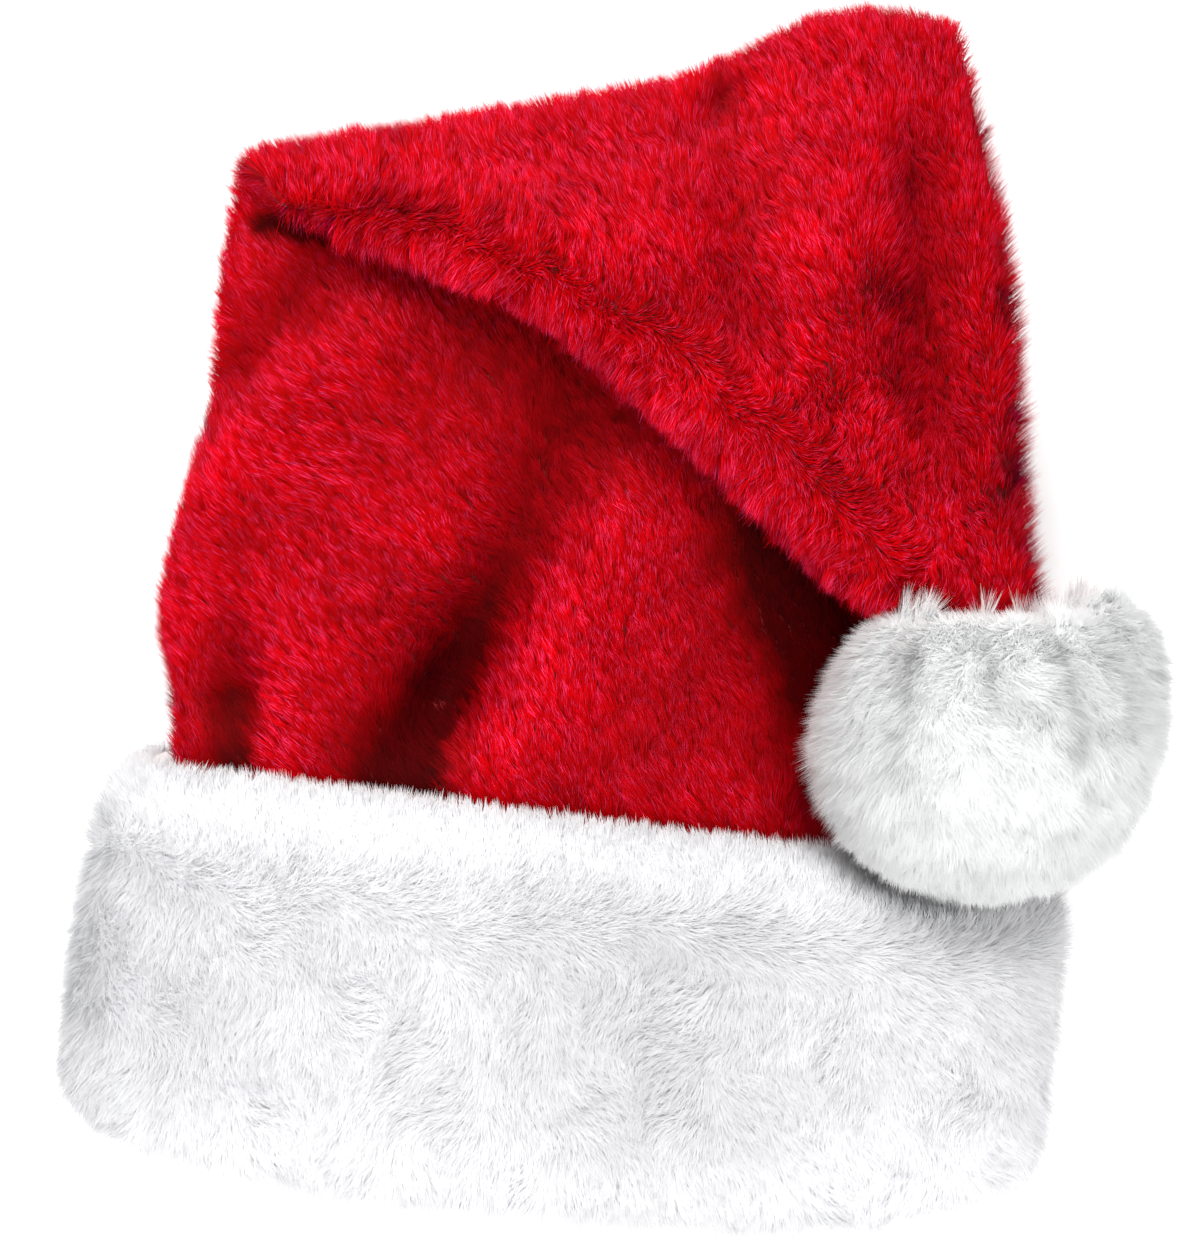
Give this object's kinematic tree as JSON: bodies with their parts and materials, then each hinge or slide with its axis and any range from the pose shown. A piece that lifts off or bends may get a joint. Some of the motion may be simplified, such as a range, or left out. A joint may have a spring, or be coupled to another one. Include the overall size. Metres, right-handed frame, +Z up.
{
  "type": "santa hat",
  "caption": "Soft plush santa hat lying flat, its hollow cone folded over to the front, with a deep fur cuff round the mouth and a fur pompom at the tip.",
  "frame": {"origin": "on the floor under the middle of the lying hat's box", "axes": "+Y from the mouth towards the fold at the top of the lying hat, +X to the right seen from above, +Z up"},
  "size_m": [0.31, 0.3358, 0.1016],
  "materials": {
    "red_plush": "soft plush pile",
    "white_fur": "long soft fur",
    "white_pompom": "long soft fur"
  },
  "bodies": {
    "root": {"crown_front": "red_plush", "crown_back": "red_plush", "fur_cuff": "white_fur", "pompom": "white_pompom"}
  },
  "joints": []
}
